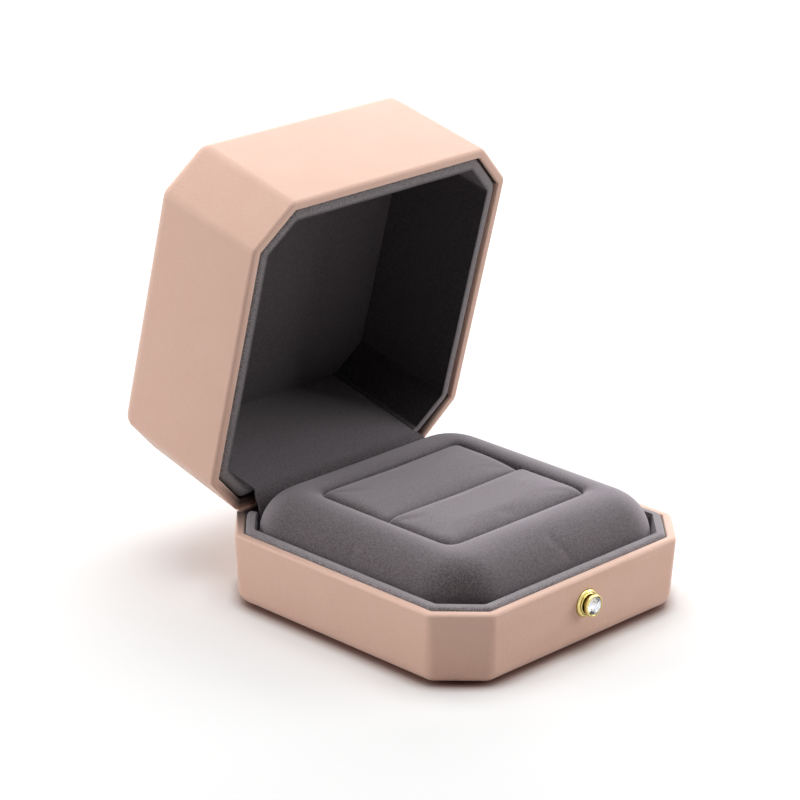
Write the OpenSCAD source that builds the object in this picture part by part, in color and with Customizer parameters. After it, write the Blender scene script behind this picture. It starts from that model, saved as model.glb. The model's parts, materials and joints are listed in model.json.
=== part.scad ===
// Octagonal leather ring case with a sprung hinge, a ring cushion and a jewelled push button.
// Millimetres. The origin is on the table under the middle of the base, +X to the right
// seen from the front, +Y to the hinge, +Z up. The lid is drawn open, at its stop.

/* [Case] */
// Width of the case across the leather
case_w = 68; // [62:1:90]
// Depth of the case from front to back across the leather
case_d = 68; // [62:1:90]
// Height of the base from the table to its rim
base_h = 15; // [14.5:0.5:22]
// Height of the lid from its rim to its top
lid_h = 27.4; // [22:0.2:40]
// Leg of the cut across each upright corner
corner_cut = 8.5; // [6.5:0.5:11]
// Radius of the upright edges
upright_r = 2.2; // [1.5:0.1:3]
// Radius round the bottom edge of the base and the top edge of the lid
edge_r = 3; // [2:0.1:3.4]
// How far the base walls lean in from the rim to the bottom
base_lean = 0.6; // [0:0.1:0.8]
// How far the lid walls lean in from the rim to the top
lid_lean = 0.3; // [0:0.1:0.6]
// Angle of the lid from closed to its open stop
open_angle = 76.3; // [60:0.1:90]
// Gap between the two rims when the case is closed
rim_gap = 0.2; // [0.1:0.05:0.4]

/* [Walls] */
// Thickness of the leather
leather_t = 0.6; // [0.5:0.1:0.8]
// Wall thickness of the moulded shells
shell_t = 1.1; // [1:0.1:1.6]
// Floor and roof thickness of the moulded shells
floor_t = 1.3; // [1:0.1:2]
// Radius of the leather rolled over each rim
rim_r = 0.45; // [0.3:0.05:0.55]
// Thickness of the cloth under the base
underside_t = 0.4; // [0.3:0.1:0.8]

/* [Linings] */
// Thickness of the collar that lines the base wall
collar_t = 1.9; // [1.4:0.1:2.4]
// Height of the collar above the rim
collar_proud = 0.9; // [0.5:0.1:1]
// Thickness of the lining round the lid wall
lining_t = 2.2; // [1.6:0.1:2.8]
// Depth of the lid lining below the lid rim
lining_recess = 1.2; // [1.1:0.1:2]
// Thickness of the pad on the lid ceiling
ceiling_t = 0.8; // [0.6:0.1:1.5]
// Bevel along the lips of the collar and the lining
lip_bevel = 0.6; // [0.3:0.1:0.8]

/* [Cushion] */
// Gap all round between the cushion and the collar
cushion_gap = 0.7; // [0.4:0.1:1.2]
// Height of the crown of the cushion above the rim
cushion_rise = 6.8; // [5:0.1:9]
// Radius of the cushion's shoulder
shoulder_r = 8; // [6:0.5:9]
// Radius of the cushion's upright corners
cushion_corner_r = 10.6; // [9:0.1:14]
// Thickness of the board under the cushion
board_t = 1; // [0.8:0.1:1.5]
// Width of the well for the ring rolls
well_w = 38; // [30:0.5:40]
// Depth of the well from front to back
well_d = 33.5; // [26:0.5:36]
// Depth of the well's floor below the rim
well_floor = 4; // [2:0.5:6]
// Height of the ring rolls above the rim
roll_rise = 6.6; // [5:0.1:8]
// Radius along the top edges of the ring rolls
roll_r = 2.2; // [1:0.1:4]
// Slack round each ring roll
roll_gap = 0.3; // [0.2:0.05:0.5]

/* [Hinge] */
// Length of the hinge
hinge_w = 34; // [24:1:38]
// Diameter of the hinge knuckles
knuckle_d = 2.4; // [2.2:0.1:2.6]
// Diameter of the hinge pin
pin_d = 1.2; // [1:0.1:1.3]
// Thickness of the hinge leaves
leaf_t = 0.5; // [0.4:0.05:0.6]
// Height of each hinge leaf
leaf_h = 10; // [8:0.5:10.5]
// Diameter of the rivet shanks
rivet_d = 1.6; // [1.2:0.1:2]
// Spacing of the two rivets of a leaf
rivet_spacing = 24; // [16:1:28]
// Distance of the rivets from the hinge axis
rivet_drop = 7; // [5:0.5:8]
// Width of the snap spring
spring_w = 12; // [8:1:16]
// Thickness of the snap spring
spring_t = 0.35; // [0.2:0.05:0.4]
// Length of each leg of the snap spring
spring_leg = 5; // [3:0.5:8]

/* [Hinge flap] */
// Half of the flap's width inside the lid
flap_half_w = 24.3; // [20:0.1:26]
// Half of the flap's width where it passes the hinge
flap_neck = 22; // [18:0.5:24]
// Thickness of the flap
flap_t = 0.9; // [0.7:0.1:1]
// How far the flap hangs behind the cushion
flap_tail = 8; // [4:0.5:9]

/* [Button] */
// Height of the button's middle above the table
button_z = 9.4; // [8.5:0.1:10]
// Diameter of the fixed flange
flange_d = 5.6; // [5.2:0.1:6.5]
// Thickness of the fixed flange
flange_t = 0.9; // [0.6:0.1:1.4]
// Outside diameter of the flange's sleeve
sleeve_d = 4.8; // [4.5:0.1:5.2]
// Length of the sleeve behind the flange
sleeve_l = 4.6; // [4.2:0.1:5]
// Diameter of the plunger in the sleeve
plunger_d = 3.6; // [3.2:0.1:3.8]
// Diameter of the plunger's head
head_d = 4.5; // [4:0.1:5]
// Thickness of the plunger's head
head_t = 0.95; // [0.8:0.05:1.4]
// Diameter of the plunger's stem
stem_d = 1.6; // [1.2:0.1:1.8]
// Travel of the button
travel = 0.55; // [0.3:0.05:0.8]
// Diameter of the crystal
crystal_d = 3.7; // [3:0.1:3.9]
// Wire of the button's return spring
wire_d = 0.35; // [0.2:0.05:0.4]
// Turns of the button's return spring
coil_turns = 5; // [3:1:6]

/* [Fits] */
// Radial clearance of the parts that turn or slide
running = 0.05; // [0.02:0.01:0.1]
// Radial clearance of the parts that are fixed in a hole
fixed = 0.03; // [0.02:0.01:0.1]
// Side gap between hinge knuckles
knuckle_gap = 0.1; // [0.05:0.05:0.3]
// Room round the knuckles in the rim notch
notch_gap = 0.3; // [0.2:0.05:0.5]
// Gap between soft pieces that nearly touch
soft_gap = 0.3; // [0.2:0.05:0.5]

/* [Hidden] */

leather_pink = [0.86, 0.69, 0.62];
microfibre_grey = [0.40, 0.37, 0.385];
shell_ivory = [0.85, 0.83, 0.78];
board_brown = [0.55, 0.45, 0.35];
steel_grey = [0.66, 0.67, 0.69];
gold = [0.90, 0.75, 0.35];
crystal_clear = [0.93, 0.95, 0.97, 0.6];

arc_steps = 4;                          // facets round each upright edge
edge_steps = 5;                         // facets round the top and bottom edges
bend_steps = 12;                        // facets round a strip's bend
past = 1;                               // how far a cut runs past the face it opens
inset_ratio = 2 - sqrt(2);              // loss of corner leg for each unit of inset

wall_t = leather_t + shell_t;           // from the outside of the leather to a lining
collar_in = wall_t + collar_t;
lining_in = wall_t + lining_t;
cushion_in = collar_in + cushion_gap;
base_floor = underside_t + leather_t + floor_t;
lid_roof = lid_h - leather_t - floor_t;
lining_top = lid_roof - ceiling_t;
rim_y = case_d / 2;
lip_start = base_h - 0.15;              // where the collar begins to stand clear of the lid

tab_drop = knuckle_d / 2 + 0.15;        // far face of a leaf's tabs, from the hinge axis
leaf_end = tab_drop - leaf_t + leaf_h;  // far edge of a leaf, from the hinge axis
leaf_in = wall_t + base_lean * leaf_end / base_h + fixed + leaf_t;
notch = knuckle_d / 2 + notch_gap;      // depth of the rim notch that clears the knuckles
knuckles = 5;
knuckle_l = hinge_w / knuckles;
rivet_head_t = 0.4;
rivet_head_d = 2 * rivet_d;
flap_in = leaf_in + rivet_head_t + running + flap_t;

seat_cut = 0.4;                         // depth of the flat in the leather under the flange
sleeve_end = 0.8;                       // thickness of the sleeve's end wall
plunger_past = 0.4;                     // how far the plunger's wide part reaches into the sleeve
stem_past = 1;                          // how far the stem reaches past its clip
nut_sink = 0.15;                        // how far the nut bites into the shell
button_bevel = 0.25;                    // bevel round the flange and the head
coil_slack = 0.02;                      // end play of the button's spring
seat_y = -rim_y + seat_cut;
head_y = seat_y - flange_t - travel;    // back of the plunger's head
spring_back = seat_y + sleeve_l - sleeve_end;
shoulder_y = seat_y + plunger_past;     // back of the plunger's wide part
clip_t = 0.4;
clip_d = 3.4;
stem_end = seat_y + sleeve_l + clip_t + stem_past;
nut_d = 7.2;
nut_t = 1;
nut_y = -rim_y + wall_t + base_lean - nut_sink;
seat_depth = 0.55;                      // depth of the crystal's seat in the head

// corner i of an octagon, counted from the front of the right side
function octagon_corner(i, w, d, cut) =
    let (x = w / 2, y = d / 2)
    [[x, -y + cut], [x, y - cut], [x - cut, y], [-x + cut, y],
     [-x, y - cut], [-x, -y + cut], [-x + cut, -y], [x - cut, -y]][i];

// outline of the case moved in by inset, with its corners rounded by r
function octagon_points(inset, r) =
    let (k = inset + r)
    [for (i = [0:7], j = [0:arc_steps])
        octagon_corner(i, case_w - 2 * k, case_d - 2 * k, corner_cut - k * inset_ratio)
        + r * [cos(45 * (i - 1 + j / arc_steps)), sin(45 * (i - 1 + j / arc_steps))]];

function corner_r(inset) = max(upright_r - inset / 2, 0.6);

function least_inset(levels) = min([for (level = levels) level[1]]);

// [height, inset] levels up round a bottom edge of radius r that starts at height z
function bottom_round(z, r, inset) =
    [for (j = [edge_steps:-1:0]) let (a = 90 * j / edge_steps)
        [z + r - r * sin(a), inset + r - r * cos(a)]];

// the same up round a top edge that ends at height z
function top_round(z, r, inset) =
    [for (j = [0:edge_steps]) let (a = 90 * j / edge_steps)
        [z - r + r * sin(a), inset + r - r * cos(a)]];

// solid through outlines of equal length, listed as [height, points] from the bottom up
module loft(outlines) {
    n = len(outlines[0][1]);
    last = len(outlines) - 1;
    points = [for (outline = outlines) for (p = outline[1]) [p[0], p[1], outline[0]]];
    sides = [for (i = [0:last - 1], j = [0:n - 1])
        [i * n + j, (i + 1) * n + j, (i + 1) * n + (j + 1) % n, i * n + (j + 1) % n]];
    ends = [[for (j = [0:n - 1]) j], [for (j = [n - 1:-1:0]) last * n + j]];
    polyhedron(points, concat(sides, ends));
}

// solid through [height, inset] levels from the bottom up, with walls that lean in downwards
module octagon_block(levels, lean, height) {
    r = corner_r(least_inset(levels));
    loft([for (level = levels)
        [level[0], octagon_points(level[1] + lean * (1 - level[0] / height), r)]]);
}

// the same for the lid, in which the lean grows with the height above its rim
module lid_block(levels) {
    r = corner_r(least_inset(levels));
    loft([for (level = levels)
        [level[0], octagon_points(level[1] + lid_lean * level[0] / lid_h, r)]]);
}

// turns a lid piece, drawn rim down at height 0, about the hinge to its open place
module open_lid() {
    translate([0, rim_y, base_h]) rotate([-open_angle, 0, 0])
        translate([0, -rim_y, rim_gap]) children();
}

// turns what follows from along Z to along Y, with its front to the front of the case
module along_y(y) {
    translate([0, y, button_z]) rotate([-90, 0, 0]) children();
}

module ring(outer_d, inner_d, length) {
    difference() {
        cylinder(d = outer_d, h = length, $fn = 64);
        translate([0, 0, -past]) cylinder(d = inner_d, h = length + 2 * past, $fn = 64);
    }
}

module bevelled_disc(d, t) {
    cylinder(d1 = d - 2 * button_bevel, d2 = d, h = button_bevel, $fn = 64);
    translate([0, 0, button_bevel]) cylinder(d = d, h = t - button_bevel, $fn = 64);
}

module wall_notch(bottom, height) {
    translate([-hinge_w / 2 - notch_gap, rim_y - leaf_in - soft_gap, bottom])
        cube([hinge_w + 2 * notch_gap, leaf_in + soft_gap + past, height]);
}

module rivet_holes(z) {
    for (side = [-1, 1])
        translate([side * rivet_spacing / 2, rim_y + past, z]) rotate([90, 0, 0])
            cylinder(d = rivet_d + 2 * fixed, h = leaf_in + 2 * past, $fn = 32);
}

module base_shell() {
    outside = bottom_round(underside_t + leather_t, edge_r - leather_t, leather_t);
    color(shell_ivory) difference() {
        octagon_block(concat(outside, [[base_h - leather_t, leather_t]]), base_lean, base_h);
        octagon_block([[base_floor, wall_t], [base_h, wall_t]], base_lean, base_h);
        wall_notch(base_h - notch, notch + past);
        along_y(-rim_y - past) cylinder(d = sleeve_d + 2 * running, h = wall_t + base_lean + 2 * past, $fn = 64);
        rivet_holes(base_h - rivet_drop);
    }
}

module base_leather() {
    outside = bottom_round(underside_t, edge_r, 0);
    inside = bottom_round(underside_t + leather_t, edge_r - leather_t, leather_t);
    color(leather_pink) difference() {
        octagon_block(concat(outside, [[base_h - rim_r, 0], [base_h - 0.3 * rim_r, 0.3 * rim_r],
                                       [base_h, rim_r]]), base_lean, base_h);
        octagon_block(concat(inside, [[base_h - leather_t, leather_t]]), base_lean, base_h);
        octagon_block([[base_h - leather_t - past, wall_t], [base_h + past, wall_t]], base_lean, base_h);
        wall_notch(base_h - notch, notch + past);
        along_y(-rim_y - past) cylinder(d = sleeve_d + 2 * running, h = wall_t + base_lean + 2 * past, $fn = 64);
        along_y(-rim_y - past) cylinder(d = flange_d + 2 * running, h = past + seat_y + rim_y, $fn = 64);
    }
}

module base_underside_cloth() {
    inset = edge_r + base_lean + 1;
    color(microfibre_grey) linear_extrude(underside_t)
        polygon(octagon_points(inset, corner_r(0)));
}

module base_collar() {
    lip = base_h + collar_proud;
    cut_w = nut_d + 2 * soft_gap;
    opening = flap_neck + collar_proud + soft_gap;  // clears the flap's slanted corners
    color(microfibre_grey) difference() {
        octagon_block([[base_floor, wall_t], [lip_start, wall_t], [lip_start + 0.3, wall_t + 0.15],
                       [lip, wall_t + lip_bevel]], base_lean, base_h);
        octagon_block([[base_floor - past, collar_in], [lip - lip_bevel, collar_in],
                       [lip + past, collar_in - lip_bevel - past]], base_lean, base_h);
        translate([-opening, 0, 0]) cube([2 * opening, rim_y, lip + past]);
        translate([-cut_w / 2, -rim_y, base_floor - past])
            cube([cut_w, rim_y / 2, button_z + nut_d / 2 + soft_gap - base_floor + past]);
    }
}

module cushion_board() {
    color(board_brown) translate([0, 0, base_floor]) linear_extrude(board_t)
        polygon(octagon_points(cushion_in + base_lean, corner_r(cushion_in)));
}

function rounded_points(half_w, half_d, r) =
    [for (i = [0:3], j = [0:6]) let (a = 90 * (i - 1 + j / 6))
        [(i == 0 || i == 1 ? 1 : -1) * (half_w - r) + r * cos(a),
         (i == 1 || i == 2 ? 1 : -1) * (half_d - r) + r * sin(a)]];

// outline of the cushion moved in by inset, at height z
function cushion_outline(inset, z) =
    let (r = max(cushion_corner_r - 0.5 * (inset - cushion_in), 4))
    [z, rounded_points(case_w / 2 - inset, case_d / 2 - inset, r)];

module cushion() {
    crown = base_h + cushion_rise;
    pocket_w = sleeve_d + 2 * soft_gap;
    color(microfibre_grey) difference() {
        loft(concat([cushion_outline(cushion_in + base_lean, base_floor + board_t)],
            [for (level = top_round(crown, shoulder_r, cushion_in)) cushion_outline(level[1], level[0])]));
        translate([-well_w / 2, -well_d / 2, base_h - well_floor])
            cube([well_w, well_d, crown]);
        translate([-pocket_w / 2, -rim_y, button_z - pocket_w / 2])
            cube([pocket_w, rim_y + stem_end + travel + soft_gap, pocket_w]);
    }
}

// one roll, lying along X on the floor of the well, centred on the given y
module ring_roll(y) {
    depth = well_d / 2 - 1.5 * roll_gap;
    height = well_floor + roll_rise;
    length = well_w - 2 * roll_gap;
    color(microfibre_grey) translate([-length / 2, y, base_h - well_floor])
        rotate([90, 0, 90]) linear_extrude(length) {
            translate([-depth / 2, 0]) square([depth, height - roll_r]);
            translate([-depth / 2 + roll_r, 0]) square([depth - 2 * roll_r, height]);
            for (side = [-1, 1])
                translate([side * (depth / 2 - roll_r), height - roll_r]) circle(roll_r, $fn = 48);
        }
}

module ring_roll_front() {
    ring_roll(-well_d / 4);
}

module ring_roll_rear() {
    ring_roll(well_d / 4);
}

// knuckles of one leaf, whose places along the hinge are listed
module leaf_knuckles(places) {
    for (i = places)
        translate([-hinge_w / 2 + i * knuckle_l + knuckle_gap / 2, 0, 0]) {
            rotate([0, 90, 0]) cylinder(d = knuckle_d, h = knuckle_l - knuckle_gap, $fn = 48);
            translate([0, -leaf_in, -tab_drop])
                cube([knuckle_l - knuckle_gap, leaf_in, leaf_t]);
        }
}

// a leaf hanging down from the hinge axis, which lies along X through the origin
module leaf(places) {
    color(steel_grey) difference() {
        union() {
            translate([-hinge_w / 2 + knuckle_gap / 2, -leaf_in, -leaf_end])
                cube([hinge_w - knuckle_gap, leaf_t, leaf_h]);
            leaf_knuckles(places);
        }
        translate([-hinge_w / 2 - past, 0, 0]) rotate([0, 90, 0])
            cylinder(d = pin_d + 2 * running, h = hinge_w + 2 * past, $fn = 48);
        for (side = [-1, 1])
            translate([side * rivet_spacing / 2, 0, -rivet_drop]) rotate([90, 0, 0])
                cylinder(d = rivet_d + 2 * fixed, h = leaf_in + past, $fn = 32);
    }
}

// two rivets of a leaf: inner heads, and shanks that end in the shell's wall
module leaf_rivets() {
    color(steel_grey) for (side = [-1, 1])
        translate([side * rivet_spacing / 2, -leaf_in, -rivet_drop]) {
            rotate([90, 0, 0]) cylinder(d = rivet_head_d, h = rivet_head_t, $fn = 48);
            rotate([-90, 0, 0]) cylinder(d = rivet_d, h = leaf_in - leather_t - base_lean, $fn = 32);
        }
}

module at_hinge() {
    translate([0, rim_y, base_h]) children();
}

// places a piece drawn for the base side of the hinge on the lid side, at the open stop
module at_open_hinge() {
    at_hinge() rotate([-open_angle, 0, 0]) mirror([0, 0, 1]) children();
}

module hinge_base_leaf() {
    at_hinge() leaf([0, 2, 4]);
}

module hinge_lid_leaf() {
    at_open_hinge() leaf([1, 3]);
}

module base_rivets() {
    at_hinge() leaf_rivets();
}

module lid_rivets() {
    at_open_hinge() leaf_rivets();
}

module hinge_pin() {
    end_d = 1.5 * pin_d;
    end_t = 0.25;
    color(steel_grey) at_hinge() translate([-hinge_w / 2, 0, 0]) rotate([0, 90, 0]) {
        cylinder(d = pin_d, h = hinge_w, $fn = 48);
        translate([0, 0, -end_t]) cylinder(d = end_d, h = end_t, $fn = 48);
        translate([0, 0, hinge_w]) cylinder(d = end_d, h = end_t, $fn = 48);
    }
}

// point of a bent strip at radius r from the hinge axis, angle a past the base side
function bend_point(r, a) = [-r * cos(a), r * sin(a)];

// edge of a strip that bends round the hinge axis, with straight legs when leg > 0
function bend_edge(r, leg) = concat(leg > 0 ? [[-r, -leg]] : [],
    [for (i = [0:bend_steps]) bend_point(r, open_angle * i / bend_steps)],
    leg > 0 ? [bend_point(r, open_angle) + leg * [sin(open_angle), cos(open_angle)]] : []);

function reversed(list) = [for (i = [len(list) - 1:-1:0]) list[i]];

module hinge_strip(inner_r, thickness, width, leg) {
    at_hinge() translate([-width / 2, 0, 0]) rotate([90, 0, 90]) linear_extrude(width)
        polygon(concat(bend_edge(inner_r, leg), reversed(bend_edge(inner_r + thickness, leg))));
}

module hinge_snap_spring() {
    color(steel_grey) hinge_strip(leaf_in, spring_t, spring_w, spring_leg);
}

module hinge_flap_tail() {
    color(microfibre_grey) at_hinge()
        translate([-flap_neck, -flap_in, -flap_tail]) cube([2 * flap_neck, flap_t, flap_tail]);
}

module hinge_flap_bend() {
    color(microfibre_grey) hinge_strip(flap_in - flap_t, flap_t, 2 * flap_neck, 0);
}

module button_bezel() {
    color(gold) difference() {
        along_y(seat_y - flange_t) {
            bevelled_disc(flange_d, flange_t);
            cylinder(d = sleeve_d, h = flange_t + sleeve_l, $fn = 64);
        }
        along_y(seat_y - flange_t - past)
            cylinder(d = plunger_d + 2 * running, h = past + flange_t + spring_back - seat_y, $fn = 64);
        along_y(seat_y) cylinder(d = stem_d + 2 * running, h = sleeve_l + past, $fn = 48);
    }
}

module button_nut() {
    color(gold) along_y(nut_y) ring(nut_d, sleeve_d + 2 * fixed, nut_t);
}

module button_plunger() {
    color(gold) difference() {
        union() {
            along_y(head_y - head_t) bevelled_disc(head_d, head_t);
            along_y(head_y) cylinder(d = plunger_d, h = shoulder_y - head_y, $fn = 64);
            along_y(shoulder_y) cylinder(d = stem_d, h = stem_end - shoulder_y, $fn = 48);
        }
        along_y(head_y - head_t - past)
            cylinder(d = crystal_d + 2 * fixed, h = past + seat_depth, $fn = 64);
    }
}

module button_crystal() {
    girdle = 0.15;
    crown = 0.45;
    table = 0.6;
    pavilion = seat_depth - girdle - 0.05;
    color(crystal_clear) along_y(head_y - head_t) {
        translate([0, 0, -crown]) cylinder(d1 = table * crystal_d, d2 = crystal_d, h = crown, $fn = 12);
        cylinder(d = crystal_d, h = girdle, $fn = 12);
        translate([0, 0, girdle]) cylinder(d1 = crystal_d, d2 = 0.5 * crystal_d, h = pavilion, $fn = 12);
    }
}

module button_clip() {
    color(steel_grey) along_y(seat_y + sleeve_l + fixed) ring(clip_d, stem_d + 2 * fixed, clip_t);
}

// points of one ring of the coil spring's wire, at angle a along a coil of the given length
function coil_ring(a, mean_r, length, sides) =
    let (z = wire_d / 2 + (length - wire_d) * a / (360 * coil_turns))
    [for (j = [0:sides - 1]) let (b = 360 * j / sides, r = mean_r + wire_d / 2 * cos(b))
        [r * cos(a), r * sin(a), z + wire_d / 2 * sin(b)]];

module button_spring() {
    sides = 8;
    per_turn = 20;
    rings = coil_turns * per_turn;
    length = spring_back - shoulder_y - 2 * coil_slack;
    mean_r = (plunger_d - wire_d) / 2 - 0.15;
    points = [for (i = [0:rings]) each coil_ring(360 * i / per_turn, mean_r, length, sides)];
    sides_faces = [for (i = [0:rings - 1], j = [0:sides - 1])
        [i * sides + j, i * sides + (j + 1) % sides, (i + 1) * sides + (j + 1) % sides, (i + 1) * sides + j]];
    ends = [[for (j = [sides - 1:-1:0]) j], [for (j = [0:sides - 1]) rings * sides + j]];
    color(steel_grey) along_y(shoulder_y + coil_slack)
        polyhedron(points, concat(sides_faces, ends));
}

module lid_shell() {
    outside = top_round(lid_h - leather_t, edge_r - leather_t, leather_t);
    color(shell_ivory) open_lid() difference() {
        lid_block(concat([[leather_t, leather_t]], outside));
        lid_block([[-past, wall_t], [lid_roof, wall_t]]);
        wall_notch(-past, notch - rim_gap + past);
        rivet_holes(rivet_drop - rim_gap);
    }
}

module lid_leather() {
    outside = top_round(lid_h, edge_r, 0);
    inside = top_round(lid_h - leather_t, edge_r - leather_t, leather_t);
    color(leather_pink) open_lid() difference() {
        lid_block(concat([[0, rim_r], [0.3 * rim_r, 0.3 * rim_r], [rim_r, 0]], outside));
        lid_block(concat([[leather_t, leather_t]], inside));
        lid_block([[-past, wall_t], [leather_t + past, wall_t]]);
        wall_notch(-past, notch - rim_gap + past);
    }
}

module lid_lining() {
    flap_room = flap_half_w + 0.1;
    color(microfibre_grey) open_lid() difference() {
        lid_block([[lining_recess, wall_t + lip_bevel], [lining_recess + lip_bevel, wall_t],
                   [lining_top, wall_t]]);
        lid_block([[lining_recess - past, lining_in - lip_bevel - past],
                   [lining_recess + lip_bevel, lining_in], [lid_h, lining_in]]);
        translate([-flap_room, 0, 0]) cube([2 * flap_room, rim_y, lid_h]);
    }
}

module lid_ceiling_pad() {
    color(microfibre_grey) open_lid() translate([0, 0, lining_top]) linear_extrude(ceiling_t)
        polygon(octagon_points(wall_t + lid_lean, corner_r(wall_t)));
}

module hinge_flap_panel() {
    bottom = soft_gap - rim_gap;
    pocket_h = leaf_h + knuckle_d / 2 + soft_gap;
    color(microfibre_grey) open_lid() difference() {
        translate([0, rim_y - wall_t - lid_lean, 0]) rotate([90, 0, 0])
            linear_extrude(flap_in - wall_t - lid_lean) polygon([
                [-flap_neck, bottom], [flap_neck, bottom],
                [flap_half_w, bottom + flap_half_w - flap_neck], [flap_half_w, lining_top],
                [-flap_half_w, lining_top], [-flap_half_w, bottom + flap_half_w - flap_neck]]);
        translate([-hinge_w / 2 - soft_gap, rim_y - flap_in + flap_t, -past])
            cube([hinge_w + 2 * soft_gap, flap_in, pocket_h + past]);
    }
}

base_shell();
base_leather();
base_underside_cloth();
base_collar();
cushion_board();
cushion();
ring_roll_front();
ring_roll_rear();
hinge_base_leaf();
base_rivets();
hinge_pin();
hinge_snap_spring();
hinge_flap_tail();
hinge_flap_bend();
button_bezel();
button_nut();
lid_shell();
lid_leather();
lid_lining();
lid_ceiling_pad();
hinge_flap_panel();
hinge_lid_leaf();
lid_rivets();
button_plunger();
button_crystal();
button_clip();
button_spring();
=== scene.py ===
import json
import math

import bmesh
import bpy
from mathutils import Matrix, Vector, noise


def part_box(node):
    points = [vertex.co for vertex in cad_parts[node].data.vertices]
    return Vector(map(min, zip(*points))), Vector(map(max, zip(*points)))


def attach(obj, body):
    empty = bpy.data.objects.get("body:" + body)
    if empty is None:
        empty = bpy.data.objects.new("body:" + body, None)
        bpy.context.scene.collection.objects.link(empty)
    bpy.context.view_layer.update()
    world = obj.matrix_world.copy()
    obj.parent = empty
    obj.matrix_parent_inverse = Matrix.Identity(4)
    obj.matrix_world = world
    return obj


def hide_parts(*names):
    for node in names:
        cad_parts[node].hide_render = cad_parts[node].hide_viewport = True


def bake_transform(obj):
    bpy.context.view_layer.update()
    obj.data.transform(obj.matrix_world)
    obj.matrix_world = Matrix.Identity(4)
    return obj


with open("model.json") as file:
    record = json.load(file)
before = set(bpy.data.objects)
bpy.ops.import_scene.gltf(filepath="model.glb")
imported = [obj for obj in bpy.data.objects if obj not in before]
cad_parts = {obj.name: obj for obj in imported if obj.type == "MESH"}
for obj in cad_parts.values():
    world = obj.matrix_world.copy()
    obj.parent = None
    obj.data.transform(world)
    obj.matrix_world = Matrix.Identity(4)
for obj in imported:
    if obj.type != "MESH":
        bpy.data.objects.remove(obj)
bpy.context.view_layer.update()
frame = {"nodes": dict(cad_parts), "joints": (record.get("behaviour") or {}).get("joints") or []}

mm = 0.001

# the case itself, taken from the frame
baseLow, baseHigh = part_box("base_leather")
halfWide = baseHigh.x
rimZ = baseHigh.z
underZ = baseLow.z
joints = {joint["name"]: joint for joint in frame["joints"]}
hinge = Vector(joints["lid_hinge"]["pos_m"])
openAngle = math.radians(joints["lid_hinge"]["range_deg"][1])

case = {
    "cornerCut": 8.5 * mm,        # leg of the cut across each upright corner
    "lidHeight": 27.4 * mm,
    "rimGap": 0.2 * mm,           # between the rims when the case is shut
    "flapDepth": 4.0 * mm,        # from the outside of the back wall to the flap's face
}
lidRim = rimZ + case["rimGap"]
lidTop = lidRim + case["lidHeight"]


# selecting and editing


def deselect():
    if bpy.context.object and bpy.context.object.mode != "OBJECT":
        bpy.ops.object.mode_set(mode="OBJECT")
    bpy.ops.object.select_all(action="DESELECT")


def activate(piece):
    deselect()
    piece.select_set(True)
    bpy.context.view_layer.objects.active = piece


def startEdit(piece):
    activate(piece)
    bpy.ops.object.mode_set(mode="EDIT")


def endEdit():
    bpy.ops.object.mode_set(mode="OBJECT")


def pick(kind, test):
    # selects the vertices, edges or faces of the piece in edit mode that pass the test
    piece = bpy.context.object
    bpy.ops.mesh.select_mode(type=kind)
    bpy.ops.mesh.select_all(action="DESELECT")
    mesh = bmesh.from_edit_mesh(piece.data)
    items = {"VERT": mesh.verts, "EDGE": mesh.edges, "FACE": mesh.faces}[kind]
    for item in items:
        if test(item):
            item.select_set(True)
    mesh.select_flush_mode()
    bmesh.update_edit_mesh(piece.data)


def near(a, b, slack=0.01 * mm):
    return abs(a - b) < slack


def middle(edge):
    return (edge.verts[0].co + edge.verts[1].co) / 2


def along(edge):
    return (edge.verts[1].co - edge.verts[0].co).normalized()


def level(item, z):
    return all(near(v.co.z, z) for v in item.verts)


def modify(piece, kind, **settings):
    activate(piece)
    made = piece.modifiers.new(kind.title(), kind)
    for key, value in settings.items():
        setattr(made, key, value)
    bpy.ops.object.modifier_apply(modifier=made.name)


def smooth(piece, angle=35):
    activate(piece)
    bpy.ops.object.shade_smooth_by_angle(angle=math.radians(angle), keep_sharp_edges=False)


def openLid(piece):
    # turns a piece made on the shut lid to the lid's open stop
    activate(piece)
    turn = Matrix.Rotation(-openAngle, 4, "X")
    turn = Matrix.Translation(hinge) @ turn @ Matrix.Translation(-hinge)
    piece.matrix_world = turn @ piece.matrix_world
    bpy.ops.object.transform_apply(location=True, rotation=True, scale=True)


def finishPiece(piece, body, slot, material, *nodes):
    piece.data.materials.clear()
    piece.data.materials.append(material)
    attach(piece, body)
    if nodes:
        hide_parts(*nodes)
    return piece


# materials


class Wire:
    # an output socket that takes part in Python sums
    def __init__(self, finish, socket):
        self.finish = finish
        self.socket = socket

    def maths(self, operation, *others):
        values = dict(enumerate([self, *others]))
        return self.finish.node("Math", {"operation": operation}, values)

    def __add__(self, other):
        return self.maths("ADD", other)

    def __sub__(self, other):
        return self.maths("SUBTRACT", other)

    def __rsub__(self, other):
        return self.finish.node("Math", {"operation": "SUBTRACT"}, {0: other, 1: self})

    def __mul__(self, other):
        return self.maths("MULTIPLY", other)

    def __truediv__(self, other):
        return self.maths("DIVIDE", other)

    __radd__ = __add__
    __rmul__ = __mul__

    def clamp(self, low, high):
        return self.finish.node("Clamp", {}, {0: self, 1: low, 2: high})


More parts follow.
